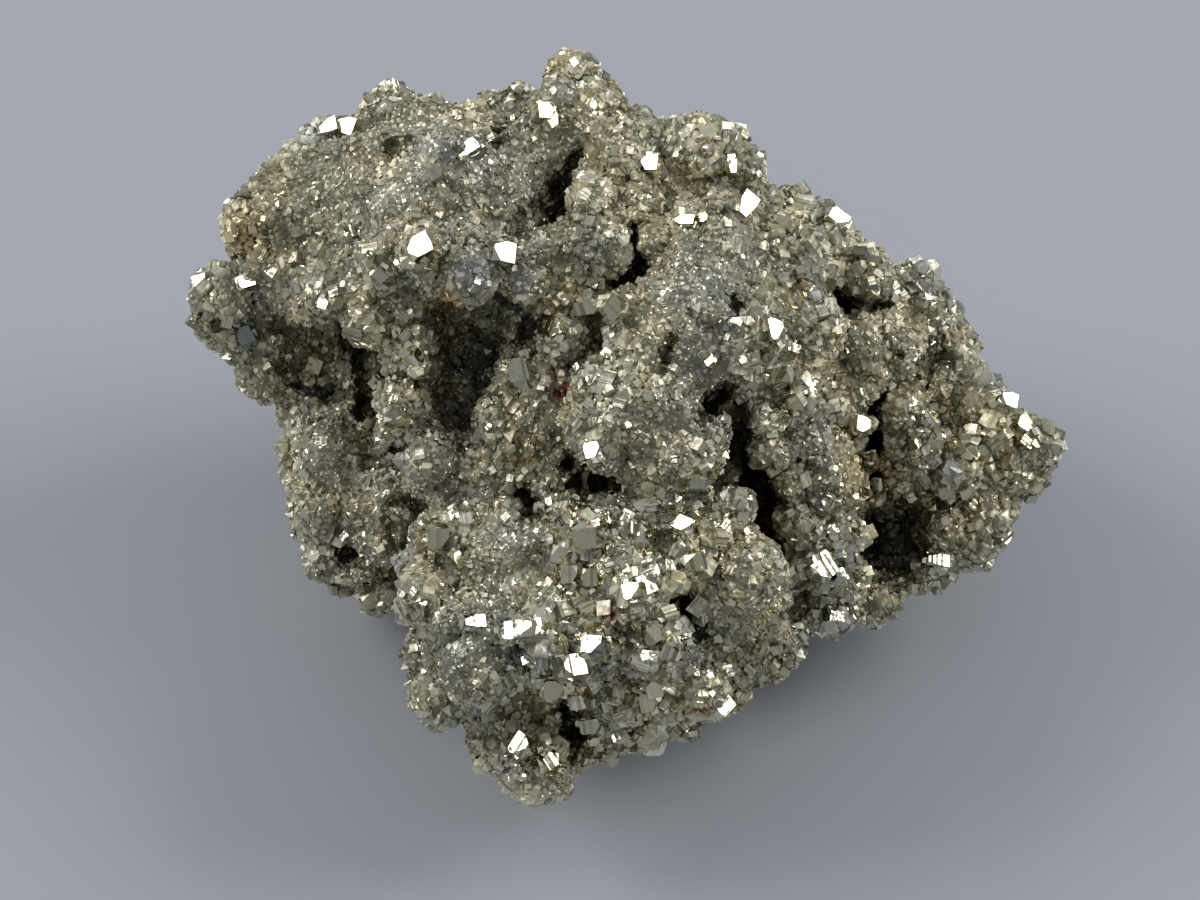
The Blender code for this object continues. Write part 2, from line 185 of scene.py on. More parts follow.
# Round knobs that stand out in the view: pixel across and down, and radius in pixels.
NOTED_KNOBS = (
    (387, 108, 30),
    (247, 222, 28),
    (424, 250, 27),
    (368, 318, 28),
    (470, 272, 31),
    (521, 277, 26),
    (592, 203, 28),
    (614, 247, 27),
    (574, 77, 28),
    (560, 97, 22),
    (592, 104, 26),
    (700, 150, 40),
    (742, 166, 24),
    (565, 336, 30),
    (430, 460, 31),
    (497, 420, 26),
    (575, 475, 11),
    (868, 280, 28),
    (918, 282, 24),
    (862, 347, 36),
    (770, 416, 25),
    (771, 450, 26),
    (902, 408, 28),
    (955, 470, 30),
    (985, 408, 30),
    (1036, 446, 28),
    (950, 525, 26),
    (800, 520, 30),
    (748, 575, 40),
    (430, 597, 34),
    (438, 698, 30),
    (480, 665, 42),
    (540, 768, 38),
    (625, 690, 34),
    (700, 690, 28),
    (400, 400, 26),
    (392, 432, 20),
    (330, 450, 34),
    (320, 510, 34),
    (380, 590, 26),
    (225, 300, 38),
    (727, 470, 19),
    (735, 508, 22),
    (795, 480, 26),
    (640, 200, 24),
    (655, 240, 22),
)

# Where the crust closes over a hollow of the solid: pixel across and down, and reach in pixels.
CLOSED_HOLLOWS = (
    (562, 178, 60),
    (535, 206, 42),
)

# Dark gaps between the knobs: pixel across and down at each end, half width in pixels, and depth in mm.
NOTED_GAPS = (
    (581, 148, 566, 174, 2, 2),
    (565, 175, 553, 198, 3, 2),
    (522, 214, 511, 242, 5, 1.8),
    (364, 350, 363, 412, 8, 3),
    (295, 386, 345, 395, 8, 2),
    (343, 318, 350, 345, 6, 2),
    (386, 452, 397, 448, 6, 2.5),
    (345, 552, 362, 560, 7, 1.8),
    (728, 385, 703, 415, 6, 3),
    (567, 460, 578, 482, 6, 2.4),
    (592, 480, 616, 490, 5, 2.4),
    (522, 493, 528, 514, 6, 2.4),
    (672, 340, 660, 372, 4, 1.5),
    (678, 602, 700, 630, 8, 3),
    (620, 630, 640, 638, 7, 1.5),
    (560, 696, 580, 720, 8, 3),
    (572, 735, 570, 758, 6, 2),
    (924, 364, 942, 348, 11, 4.5),
    (838, 300, 888, 305, 5, 2),
    (786, 195, 797, 213, 6, 1.5),
    (735, 303, 738, 312, 7, 2.5),
    (882, 396, 873, 432, 5, 3),
    (870, 438, 863, 494, 6, 3),
    (868, 508, 874, 556, 9, 4),
    (936, 405, 944, 428, 5, 2),
    (390, 148, 407, 142, 7, 2),
    (750, 452, 766, 522, 8, 2.5),
    (498, 124, 499, 140, 4, 2),
)

# Patches of tarnish, and patches of painted shade under the left lobe, on the lower right side and on the
# lower rim: pixel across and down, reach in pixels, and what they do to red, green and blue.
TARNISH_AND_SHADE = (
    (470, 272, 26, (0.72, 0.76, 0.86)),
    (520, 280, 24, (0.80, 0.84, 0.96)),
    (480, 650, 42, (0.93, 0.98, 1.05)),
    (245, 235, 26, (0.94, 0.85, 0.68)),
    (448, 302, 14, (1.00, 0.74, 0.45)),
    (880, 470, 34, (0.88, 0.76, 0.52)),
    (430, 460, 28, (0.84, 0.88, 0.96)),
    # Painted shade under the left lobe
    (322, 372, 34, (0.66, 0.61, 0.50)),
    (246, 334, 14, (0.42, 0.48, 0.62)),
    # Painted shade on the lower right side
    (862, 605, 34, (0.75, 0.73, 0.66)),
    (600, 312, 30, (0.82, 0.80, 0.72)),
    (750, 302, 26, (0.86, 0.85, 0.81)),
    # Painted shade on the lower rim
    (770, 652, 42, (0.85, 0.84, 0.78)),
    (985, 450, 50, (0.96, 0.92, 0.80)),
)

# Spots of rust: pixel across and down, and radius in mm.
STAINS = (
    (565, 390, 2.2),
    (610, 617, 0.9),
    (700, 706, 1.0),
)

rng = np.random.default_rng(11)


def pixel_of(points):
    """Where points (n, 3) in metres show in the photograph, in its pixels."""
    from_eye = points - np.array(EYE)
    depth = -(from_eye @ np.array(TOWARD_VIEWER))
    scale = SIGHT_DISTANCE * MM / depth / MM * PIXELS
    across = MIDDLE_PIXEL[0] + (from_eye @ np.array(ACROSS)) * scale
    down = MIDDLE_PIXEL[1] - (from_eye @ np.array(UP_THE_VIEW)) * scale
    return np.stack((across, down), 1)


def sight_line(across, down):
    """The direction from the eye to a pixel of the photograph."""
    right = (across - MIDDLE_PIXEL[0]) / PIXELS * MM
    up = (MIDDLE_PIXEL[1] - down) / PIXELS * MM
    return (MIDDLE + ACROSS * right + UP_THE_VIEW * up - EYE).normalized()


def nearness(points):
    """How far points (n, 3) lie toward the viewer from the plane through the middle, in metres."""
    return (points - np.array(MIDDLE)) @ np.array(TOWARD_VIEWER)


def places_of(verts):
    return np.array([tuple(vert.co) for vert in verts])


def move_to(bm, verts, places):
    for vert, place in zip(verts, places):
        vert.co = place
    bm.normal_update()


# The ground that the crust grows on

GROUND_EDGE = 0.58  # mm, the longest edge of the ground's faces where the photograph shows them
GROUND_EDGE_BEHIND = 1.0  # mm, the longest edge behind
GROUND_EDGE_REACH = 2  # mm behind the middle plane, as far back as edges are short
GROUND_SPLITS = 4
GROUND_SOFTENINGS = 10
GROUND_LIFT = -0.95  # mm, from the solid's smoothed skin to the bottom of the ground's creases
GROUND_LOWEST = 0.05  # mm, the height over the floor that it keeps beside the flat spot
SWELL_SIZE = 2.2  # mm
SWELL_HEIGHT = 0.2  # mm
KNOB_SIZE = 3.4  # mm across
KNOB_HEIGHT = 1.05  # mm
SMALL_KNOB_SIZE = 1.7
SMALL_KNOB_HEIGHT = 0.35
KNOB_STEEPNESS = 1.7
KNOB_BEND = 0.25  # of a knob's size, about how far its outline is bent
KNOB_BEND_SIZE = 1.5  # knob sizes
KNOB_CHANGE_SIZE = 5  # mm, over which knobs change from low to high
LARGE_KNOB_SIZE = 8  # only where the photograph doesn't show the specimen
LARGE_KNOB_HEIGHT = 1.5
LARGE_KNOB_SINK = 1
LARGE_KNOB_REACH = 6  # mm behind the middle plane, where they have their full height
NOTED_KNOB_SINK = 0.6  # of a noted knob's radius, from the skin down to its middle
NOTED_KNOB_RIM = 0.3  # of its radius, the width of the ground that is lowered around it
NOTED_KNOB_RIM_DEPTH = 0.35  # mm
FINE_GRAIN = 0.9  # how fine the crust is where the random lumps are lowest
FINE_LUMPS = 0.5  # of their height, how much lower they are there
RAISED_LUMPS = 0.4  # of their height, the most that they have on a noted knob
HOLLOW_SMOOTHINGS = 250
HOLLOW_REACH = 8  # mm behind the middle plane, as far back as hollows are closed
GAP_SINK = 0.7  # of a noted gap's depth
GAP_REACH = 3.5  # mm before or behind a noted gap's line, as far as the ground there is sunk
GAP_BEND = 0.8  # of its half width, more or less
GAP_BEND_SIZE = 0.9  # mm
GRAIN_SIZE = 6.5  # mm, about the width of a coarse or fine part of the crust where none is noted
GRAIN_RANGE = 0.8  # of coarseness, more or less

# The directions in which openness looks for the sky, given for ground that faces +Z.
SKY_RAY_COUNT = 13
SKY_RAY_TURN = 2.39996  # radians from each direction to the next, near the golden angle
SKY_RAY_LENGTH = 10  # mm
SKY_RAY_START = 0.25  # mm over the ground


def sky_ray(i):
    outward = (i + 0.5) / SKY_RAY_COUNT
    turn = i * SKY_RAY_TURN
    flat = math.sqrt(outward)
    return Vector((math.cos(turn) * flat, math.sin(turn) * flat, math.sqrt(1 - outward)))


SKY_RAYS = [sky_ray(i) for i in range(SKY_RAY_COUNT)]


def knobs(place, size):
    """How high, from 0 to 1, rounded lumps about size mm across stand at a place, with sharp creases
    between them, and a number from 0 to 1 that is the same all over one lump."""
    scaled = place / (KNOB_BEND_SIZE * size * MM)
    bend = Vector([noise.noise(scaled + Vector((0, 0, shift))) for shift in (0, 31.4, 57.1)])
    bent = place + bend * KNOB_BEND * size * MM
    distances, middles = noise.voronoi(bent / (size * MM))
    mark = math.sin(middles[0].dot(Vector((12.99, 78.23, 37.72)))) * 43758.5 % 1
    return 1 - (1 - min(1, (distances[1] - distances[0]) * KNOB_STEEPNESS)) ** 2, mark


def patch_grain(places):
    """How coarse the crust is at each place, from about -1, finest, to 1."""
    pixels = pixel_of(places)
    front = nearness(places) > 0
    coarse = np.array([noise.noise(Vector(p) / (GRAIN_SIZE * MM)) for p in places]) * GRAIN_RANGE
    for across, down, reach, more in GRAIN_PATCHES:
        far = ((pixels - (across, down)) ** 2).sum(1) / reach**2
        coarse += more * np.exp(-far) * front
    return coarse


def close_hollows(bm, free):
    """Smooths the skin where the crust closes over the solid's hollows."""
    places = places_of(free)
    pixels = pixel_of(places)
    shown = nearness(places) > -HOLLOW_REACH * MM
    order = {vert: i for i, vert in enumerate(free)}
    for across, down, reach in CLOSED_HOLLOWS:
        near = np.flatnonzero((((pixels - (across, down)) ** 2).sum(1) < reach**2) & shown)
        linked = [(i, edge.other_vert(free[i])) for i in near for edge in free[i].link_edges]
        firsts = np.array([i for i, _ in linked])
        others = np.array([order[other] for _, other in linked])
        counts = np.bincount(firsts, minlength=len(free))[:, None]
        for _ in range(HOLLOW_SMOOTHINGS):
            sums = [np.bincount(firsts, places[others, axis], len(free)) for axis in range(3)]
            places[near] = (places[near] + np.stack(sums, 1)[near] / counts[near]) / 2
    move_to(bm, free, places)


def raise_knobs(places, normals, tree):
    """Raises the noted knobs out of the ground. Returns which places are on one."""
    raised = np.zeros(len(places), bool)
    for across, down, reach in NOTED_KNOBS:
        hit = tree.ray_cast(EYE, sight_line(across, down))[0]
        if hit is None:
            continue
        radius = reach / PIXELS * MM
        centre = np.array(hit - TOWARD_VIEWER * radius * NOTED_KNOB_SINK)
        out = places - centre
        far = np.linalg.norm(out, axis=1)
        inside = far < radius
        rim = ~inside & (far < (1 + NOTED_KNOB_RIM) * radius)
        places[inside] = centre + out[inside] / far[inside, None] * radius
        lowered = (1 + NOTED_KNOB_RIM - far[rim] / radius) / NOTED_KNOB_RIM * NOTED_KNOB_RIM_DEPTH * MM
        places[rim] -= normals[rim] * lowered[:, None]
        raised |= inside
    return raised


def sink_gaps(places, free, tree):
    """Sinks the noted gaps into the ground. Returns how deep in one each place is, from 0 to 1."""
    gaps = np.zeros(len(free))
    bent = np.array([noise.noise(v.co / (GAP_BEND_SIZE * MM)) for v in free])
    pixels = pixel_of(places)
    near_to = nearness(places)
    stations = (0, 0.5, 1)
    for across, down, to_across, to_down, reach, depth in NOTED_GAPS:
        hits = []
        for t in stations:
            line = sight_line(across + (to_across - across) * t, down + (to_down - down) * t)
            hit = tree.ray_cast(EYE, line)[0]
            hits.append(-math.inf if hit is None else (hit - MIDDLE).dot(TOWARD_VIEWER))
        along = np.array((to_across - across, to_down - down))
        from_start = pixels - (across, down)
        t = np.clip(from_start @ along / (along @ along), 0, 1)
        beside = np.linalg.norm(from_start - t[:, None] * along, axis=1) / (reach + 1)
        beside *= 1 + GAP_BEND * bent
        near = (beside < 1) & (np.abs(near_to - np.interp(t, stations, hits)) < GAP_REACH * MM)
        sunk = GAP_SINK * depth * MM * (1 - beside[near] ** 2)
        places[near] -= np.array(TOWARD_VIEWER) * sunk[:, None]
        gaps[near] = np.maximum(gaps[near], 1 - beside[near] ** 2)
    return gaps


def noted_forms(bm, free):
    """Gives the ground the forms that the photograph shows. Returns how much of the random lumps each
    vertex takes, and how deep it is in a noted gap."""
    close_hollows(bm, free)
    tree = BVHTree.FromBMesh(bm)
    places = places_of(free)
    normals = np.array([tuple(v.normal) for v in free])
    lumpy = 1 - FINE_LUMPS * np.clip(-patch_grain(places) / FINE_GRAIN, 0, 1)
    raised = raise_knobs(places, normals, tree)
    lumpy[raised] = np.minimum(lumpy[raised], RAISED_LUMPS)
    gaps = sink_gaps(places, free, tree)
    move_to(bm, free, places)
    return lumpy, gaps


def openness(tree, place, normal):
    """The share of the sky over a point that nothing near hides."""
    side = normal.orthogonal().normalized()
    axes = Matrix((side, normal.cross(side), normal)).transposed()
    start = place + normal * SKY_RAY_START * MM
    clear = sum(tree.ray_cast(start, axes @ ray, SKY_RAY_LENGTH * MM)[0] is None for ray in SKY_RAYS)
    return clear / len(SKY_RAYS)


def refine(bm, rest):
    """Splits long edges and softens the form off the flat spot. Returns the vertices there."""

    def is_long(edge):
        shown = (edge.verts[0].co - MIDDLE).dot(TOWARD_VIEWER) > -GROUND_EDGE_REACH * MM
        longest = GROUND_EDGE if shown else GROUND_EDGE_BEHIND
        return edge.calc_length() > longest * MM and not all(face[rest] for face in edge.link_faces)

    for _ in range(GROUND_SPLITS):
        bmesh.ops.subdivide_edges(bm, edges=[edge for edge in bm.edges if is_long(edge)], cuts=1)
        bmesh.ops.triangulate(bm, faces=[f for f in bm.faces if len(f.verts) > 3])
    free = [v for v in bm.verts if not any(face[rest] for face in v.link_faces)]
    for _ in range(GROUND_SOFTENINGS):
        bmesh.ops.smooth_vert(bm, verts=free, factor=0.5,
                              use_axis_x=True, use_axis_y=True, use_axis_z=True)
    bm.normal_update()
    return free


def lump(vert, lumpy, gap):
    """How far out the lumps move a vertex, in mm, how far creases and gaps lower its openness, which
    paints shade there and leaves fewer and smaller crystals, and its lump's number.
    """
    behind = min(1, max(0, -(vert.co - MIDDLE).dot(TOWARD_VIEWER) / (LARGE_KNOB_REACH * MM)))
    swell = noise.fractal(vert.co / (SWELL_SIZE * MM), 0.6, 2.1, 4, noise_basis="PERLIN_ORIGINAL")
    rise, mark = knobs(vert.co, KNOB_SIZE)
    small_rise, small_mark = knobs(vert.co, SMALL_KNOB_SIZE)
    large_rise = knobs(vert.co, LARGE_KNOB_SIZE)[0]
    broad = KNOB_HEIGHT * rise * (0.6 + 0.8 * noise.noise(vert.co / (KNOB_CHANGE_SIZE * MM)))
    move = (GROUND_LIFT + SWELL_HEIGHT * swell + broad + SMALL_KNOB_HEIGHT * small_rise) * lumpy
    move += behind * (LARGE_KNOB_HEIGHT * large_rise - LARGE_KNOB_SINK)
    # Creases between knobs, noted gaps and the low ground behind get less openness: painted shade there.
    crease = 1 - (1 - (0.65 + 0.35 * rise) * (0.85 + 0.15 * small_rise)) * lumpy
    crease *= (1 - 0.4 * gap) * (1 - 0.4 * behind * (1 - large_rise))
    return move, crease, 0.65 * mark + 0.35 * small_mark


def ground_mesh(node):
    """The solid's form with soft edges, lumps and creases, except where it rests. Returns the mesh, a
    tree to cast rays at, and the surface that the crust grows on. Its marks are openness and lump."""
    bm = bmesh.new()
    bm.from_mesh(node.data)
    bmesh.ops.remove_doubles(bm, verts=bm.verts, dist=1e-6)
    rest = bm.faces.layers.int.new("rest")
    for face in bm.faces:
        face[rest] = all(abs(vert.co.z) < 1e-6 for vert in face.verts)
    free = refine(bm, rest)
    lumps = [lump(*row) for row in zip(free, *noted_forms(bm, free))]
    for vert, (move, _, _) in zip(free, lumps):
        vert.co += vert.normal * move * MM
        vert.co.z = max(vert.co.z, GROUND_LOWEST * MM)
    bm.normal_update()
    tree = BVHTree.FromBMesh(bm)
    marks = {vert: (1.0, 0.5) for vert in bm.verts}
    # Openness, lowered in creases, sets the painted shade of hollows and creases.
    for vert, (_, crease, mark) in zip(free, lumps):
        marks[vert] = (openness(tree, vert.co, vert.normal) * crease, mark)
    mesh = bpy.data.meshes.new("ground")
    bm.verts.index_update()
    bm.to_mesh(mesh)
    mesh.validate()
    mesh.shade_flat()
    every_mark = np.array([marks[vert] for vert in bm.verts])
    write_marks(mesh, every_mark[:, 0], tints(places_of(bm.verts), every_mark[:, 1]))
    mass = [face for face in bm.faces if not face[rest]]
    surface = {
        "corners": np.array([[tuple(v.co) for v in face.verts] for face in mass]),
        "normals": np.array([[tuple(v.normal) for v in face.verts] for face in mass]),
        "marks": np.array([[marks[v] for v in face.verts] for face in mass]),
    }
    bm.free()
    return mesh, tree, surface


def write_number(mesh, name, domain, numbers):
    attribute = mesh.attributes.new(name, "FLOAT", domain)
    attribute.data.foreach_set("value", numbers.astype(np.float32))


def write_vector(mesh, name, domain, vectors):
    attribute = mesh.attributes.new(name, "FLOAT_VECTOR", domain)
    attribute.data.foreach_set("vector", vectors.ravel().astype(np.float32))


def write_marks(mesh, skies, colours):
    write_number(mesh, "openness", "POINT", skies)
    write_vector(mesh, "tint", "POINT", colours)


COOL_PATCH = 4.5  # mm
COOL_TINT = (-0.06, -0.02, 0.08)  # added to red, green and blue
LUMP_DARKEST = 0.86
LUMP_RANGE = 0.42  # of brightness, from the darkest lump to the brightest


def tints(places, marks):
    """What each place's patch does to red, green and blue, by its lump, its tarnish and painted shade."""
    cool = np.array([noise.noise(Vector(p) / (COOL_PATCH * MM)) for p in places])
    bright = LUMP_DARKEST + LUMP_RANGE * marks
    colours = bright[:, None] * (1 + cool[:, None] * np.array(COOL_TINT))
    pixels = pixel_of(places)
    front = nearness(places) > 0
    # Tarnish, and in some patches painted shade
    for across, down, reach, colour in TARNISH_AND_SHADE:
        share = np.exp(-((pixels - (across, down)) ** 2).sum(1) / reach**2) * front
        colours *= 1 + share[:, None] * (np.array(colour) - 1)
    return colours


def tree_of(places):
    tree = KDTree(len(places))
    for i, place in enumerate(places):
        tree.insert(place, i)
    tree.balance()
    return tree


def areas_of(corners):
    sides = corners[:, 1:] - corners[:, :1]
    return np.linalg.norm(np.cross(sides[:, 0], sides[:, 1]), axis=1) / 2


def scattered(surface, count, spacing):
    """Up to count points on a surface, at least spacing mm apart, with its outward ways and marks."""
    corners = surface["corners"]
    areas = areas_of(corners)
    picks = rng.choice(len(corners), size=count * 3, p=areas / areas.sum())
    s, t = np.sort(rng.random((2, count * 3)), axis=0)
    weights = np.stack((s, t - s, 1 - t), 1)[:, :, None]
    places = (corners[picks] * weights).sum(1)
    ways = (surface["normals"][picks] * weights).sum(1)
    marks = (surface["marks"][picks] * weights).sum(1)
    ways /= np.linalg.norm(ways, axis=1)[:, None]
    tree = tree_of(places)
    dropped = np.zeros(len(places), bool)
    kept = []
    for i, place in enumerate(places):
        if dropped[i]:
            continue
        kept.append(i)
        if len(kept) == count:
            break
        dropped[[j for _, j, _ in tree.find_range(place, spacing * MM)]] = True
    return places[kept], ways[kept], marks[kept]


# Crystal habits


def hull(corners):
    """(points, faces) of the convex form with those corners, its flat faces whole."""
    bm = bmesh.new()
    verts = [bm.verts.new(corner) for corner in corners]
    bmesh.ops.convex_hull(bm, input=verts)
    bmesh.ops.dissolve_limit(bm, angle_limit=math.radians(1), verts=bm.verts, edges=bm.edges)
    bmesh.ops.recalc_face_normals(bm, faces=bm.faces)
    bm.verts.index_update()
    points = np.array([tuple(v.co) for v in bm.verts])
    faces = [[v.index for v in face.verts] for face in bm.faces]
    bm.free()
    return points, faces


def box(low, high):
    return hull([(x, y, z) for x in (low[0], high[0]) for y in (low[1], high[1])
                 for z in (low[2], high[2])])


def together(*shapes):
    """One form of several that overlap, each of them left whole."""
    points, faces = [], []
    for shape_points, shape_faces in shapes:
        first = sum(len(p) for p in points)
        points.append(shape_points)
        faces += [[first + corner for corner in face] for face in shape_faces]
    return np.concatenate(points), faces


def turns(point):
    """The point with its coordinates moved on by none, one and two axes."""
    return [point, point[-1:] + point[:-1], point[-2:] + point[:-2]]


def signed(point):
    """The point and its mirror images in the three planes."""
    x, y, z = point
    return sorted({(a * x, b * y, c * z) for a in (-1, 1) for b in (-1, 1) for c in (-1, 1)})


def every(*points):
    """The points' images under all of a pyrite crystal's turns and mirrorings."""
    return [corner for point in points for turned in turns(point) for corner in signed(turned)]


BROKEN_COUNT = 6
BROKEN_HALVES = (1, 0.9, 0.95)
BROKEN_SHARE = 0.6  # of the corners, cut off
BROKEN_CUTS = (0.25, 1.25)  # half widths, the shortest and the longest cut along an edge


def broken(seed):
    """A block with some of its corners cut off by faces that lean all ways."""
    picks = np.random.default_rng(seed)
    corners = []
    for corner in signed(BROKEN_HALVES):
        if picks.random() < BROKEN_SHARE:
            for axis in range(3):
                moved = list(corner)
                moved[axis] *= 1 - picks.uniform(*BROKEN_CUTS)
                corners.append(moved)
        else:
            corners.append(corner)
    return hull(corners)


# A three-sided pyramid
PYRAMID_REACH = 1.63  # from the axis to a corner of the base
PYRAMID_ANGLES = (0.3, 2.394, 4.489)  # radians
PYRAMID_HEIGHT = 1.15
PYRAMID_BASE = [(PYRAMID_REACH * math.cos(a), PYRAMID_REACH * math.sin(a), 0) for a in PYRAMID_ANGLES]

HABITS = {
    **{f"broken {seed}": broken(seed) for seed in range(BROKEN_COUNT)},
    "cube": box((-1, -1, -1), (1, 1, 1)),
    "block": box((-1, -0.75, -0.9), (1, 0.75, 0.9)),
    "bar": box((-1.35, -0.7, -0.75), (1.35, 0.7, 0.75)),
    "stepped cube": together(
        box((-1, -1, -1), (1, 1, 1)),
        box((-0.75, -1.07, -0.6), (1.05, 0.8, 0.7)),
        box((-0.5, -0.85, -0.5), (0.9, 0.6, 1.09)),
    ),
    "ridged cube": together(
        box((-1, -1, -1), (1, 1, 1)),
        box((-0.96, -0.9, 0.2), (0.96, -0.55, 1.06)),
        box((-0.96, -0.2, 0.2), (0.96, 0.1, 1.04)),
        box((-0.96, 0.45, 0.2), (0.96, 0.85, 1.07)),
    ),
    "rounded": hull([*every((0.5, 0.5, 1.05)), *signed((0.82, 0.82, 0.82))]),
    "cut cube": hull(every((0.72, 1, 1))),
    "corner": hull([(0, 0, PYRAMID_HEIGHT), *PYRAMID_BASE]),
    "octahedron": hull(every((0, 0, 1.45))),
    "pyritohedron": hull([*signed((1, 1, 1)), *every((0, 1.5, 0.75))]),
    "cut pyritohedron": hull([*signed((0.95, 0.95, 0.95)), *every((0.1, 1.22, 0.72))]),
}


def rotations(count):
    """Random rotation matrices, all ways equally likely."""
    q = rng.normal(size=(count, 4))
    q /= np.linalg.norm(q, axis=1)[:, None]
    w, x, y, z = q.T
    rows = (
        (1 - 2 * (y * y + z * z), 2 * (x * y - w * z), 2 * (x * z + w * y)),
        (2 * (x * y + w * z), 1 - 2 * (x * x + z * z), 2 * (y * z - w * x)),
        (2 * (x * z - w * y), 2 * (y * z + w * x), 1 - 2 * (x * x + y * y)),
    )
    return np.stack([np.stack(row, -1) for row in rows], -2)


def tilted(ways, most):
    """Frames whose third axis lies within most degrees of the given ways, turned at random about it."""
    count = len(ways)
    out = ways + rng.normal(size=(count, 3)) * math.tan(math.radians(most)) * 0.5
    out /= np.linalg.norm(out, axis=1)[:, None]
    side = np.cross(out, rng.normal(size=(count, 3)))
    side /= np.linalg.norm(side, axis=1)[:, None]
    return np.stack((side, np.cross(out, side), out), -1)


CRYSTAL_LOWEST = 0.02  # mm, the height over the floor that every crystal keeps


class Crust:
    """Crystals by habit, gathered until mesh() makes one mesh of them."""

    def __init__(self):
        self.held = {}

    def add(self, habit, centres, frames, halves, roots, ways, marks):
        """Adds n crystals of one habit. frames (n, 3, 3) have a crystal's axes as columns, halves (n, 3)
        are its half widths in metres, and roots, ways and marks are the ground's at its foot."""
        if len(centres):
            self.held.setdefault(habit, []).append((centres, frames, halves, roots, ways, marks))

    def mesh(self, name):
        points, corners, sizes = [], [], []
        open_to, colours, heights, stripes, stripe_ways = [], [], [], [], []
        total = 0
        for habit, groups in self.held.items():
            shape_points, shape_faces = HABITS[habit]
            flat = np.concatenate(shape_faces)
            lengths = np.array([len(face) for face in shape_faces])
            centres, frames, halves, roots, ways, marks = (np.concatenate(column) for column in zip(*groups))
            placed = np.einsum("kij,knj->kni", frames, shape_points[None] * halves[:, None])
            placed += centres[:, None]
            above = placed[:, :, 2].min(1) > CRYSTAL_LOWEST * MM
            placed, frames, halves = placed[above], frames[above], halves[above]
            heights.append(((placed - roots[above, None]) * ways[above, None]).sum(2).ravel() / MM)
            count = len(placed)
            open_to.append(np.repeat(marks[above, 0], len(shape_points)))
            colours.append(np.repeat(tints(roots[above], marks[above, 1]), len(shape_points), axis=0))
            points.append(placed.reshape(-1, 3))
            corners.append((flat[None] + total + len(shape_points) * np.arange(count)[:, None]).ravel())
            sizes.append(np.tile(lengths, count))
            total += count * len(shape_points)
            # Striations run one way on each pair of faces of a cube, square to those on the next pair.
            across = np.repeat([stripe_axis(shape_points[face]) for face in shape_faces], lengths)
            local = shape_points[flat][None] * halves[:, None]
            stripes.append(np.take_along_axis(local, np.tile(across, (count, 1))[:, :, None], 2).ravel())
            stripe_ways.append(frames[:, :, across].transpose(0, 2, 1).reshape(-1, 3))
        points = np.concatenate(points)
        corners, sizes = np.concatenate(corners), np.concatenate(sizes)
        mesh = bpy.data.meshes.new(name)
        mesh.vertices.add(len(points))
        mesh.vertices.foreach_set("co", points.ravel().astype(np.float32))
        mesh.loops.add(len(corners))
        mesh.loops.foreach_set("vertex_index", corners.astype(np.int32))
        mesh.polygons.add(len(sizes))
        mesh.polygons.foreach_set("loop_start", (np.cumsum(sizes) - sizes).astype(np.int32))
        mesh.update(calc_edges=True)
        mesh.shade_flat()
        write_marks(mesh, np.concatenate(open_to), np.concatenate(colours))
        write_number(mesh, "height", "POINT", np.concatenate(heights))
        write_number(mesh, "stripe", "CORNER", np.concatenate(stripes) / MM)
        write_vector(mesh, "stripe_way", "CORNER", np.concatenate(stripe_ways))
        return mesh


def stripe_axis(face_points):
    """The axis that striations are measured along: the one after the axis that their face looks along."""
    normal = np.cross(face_points[1] - face_points[0], face_points[2] - face_points[0])
    return (int(np.argmax(np.abs(normal))) + 1) % 3


# Materials


class Nodes:
    """Shorthand for building one material's nodes."""

    def __init__(self, name):
        self.material = bpy.data.materials.new(name)
        self.material.use_nodes = True
        self.tree = self.material.node_tree
        self.shader = self.tree.nodes["Principled BSDF"]

    def link(self, source, target):
        if isinstance(source, bpy.types.NodeSocket):
            self.tree.links.new(source, target)
        else:
            target.default_value = source

    def new(self, kind, **settings):
        node = self.tree.nodes.new("ShaderNode" + kind)
        for key, value in settings.items():
            setattr(node, key, value)
        return node

    def math(self, operation, a, b=0.0, clamp=False):
        node = self.new("Math", operation=operation, use_clamp=clamp)
        self.link(a, node.inputs[0])
        self.link(b, node.inputs[1])
        return node.outputs[0]

    def vector(self, operation, a, b=None, output="Vector"):
        node = self.new("VectorMath", operation=operation)
        self.link(a, node.inputs[0])
        if b is not None:
            self.link(b, node.inputs["Scale" if operation == "SCALE" else 1])
        return node.outputs[output]

    def mix(self, share, a, b):
        node = self.new("Mix", data_type="RGBA")
        self.link(share, node.inputs[0])
        self.link(a, node.inputs[6])
        self.link(b, node.inputs[7])
        return node.outputs[2]

    def ramp(self, value, low, high, start=0.0, end=1.0):
        node = self.new("MapRange")
        self.link(value, node.inputs[0])
        for i, number in enumerate((low, high, start, end), 1):
            node.inputs[i].default_value = number
        return node.outputs[0]

    def noise(self, place, size, detail=2.0, roughness=0.5, output=0):
        """Noise whose blotches are about size mm across."""
        node = self.new("TexNoise")
        self.link(place, node.inputs["Vector"])
        node.inputs["Scale"].default_value = 1 / (size * MM)
        node.inputs["Detail"].default_value = detail
        node.inputs["Roughness"].default_value = roughness
        return node.outputs[output]


def leaning(n, place, size, amount):
    """A lean of the surface that changes from one cell about size mm across to the next."""
    cells = n.new("TexVoronoi")
    n.link(place, cells.inputs["Vector"])
    cells.inputs["Scale"].default_value = 1 / (size * MM)
    centred = n.vector("SUBTRACT", cells.outputs["Color"], (0.5, 0.5, 0.5))
    return n.vector("SCALE", centred, amount)


PALE_BRASS = (0.80, 0.76, 0.59)
DARK_BRASS = (0.53, 0.505, 0.39)
BLUE_GREY = (0.56, 0.57, 0.54)
BROWN = (0.60, 0.53, 0.31)
FILM = (0.38, 0.355, 0.25)
HOLLOW_SHADE = (0.2, 0.175, 0.1)
ROOT_SHADE = (0.14, 0.125, 0.075)
GROOVE_SHADE = (0.2, 0.185, 0.13)
RUST = (0.22, 0.075, 0.035, 1)


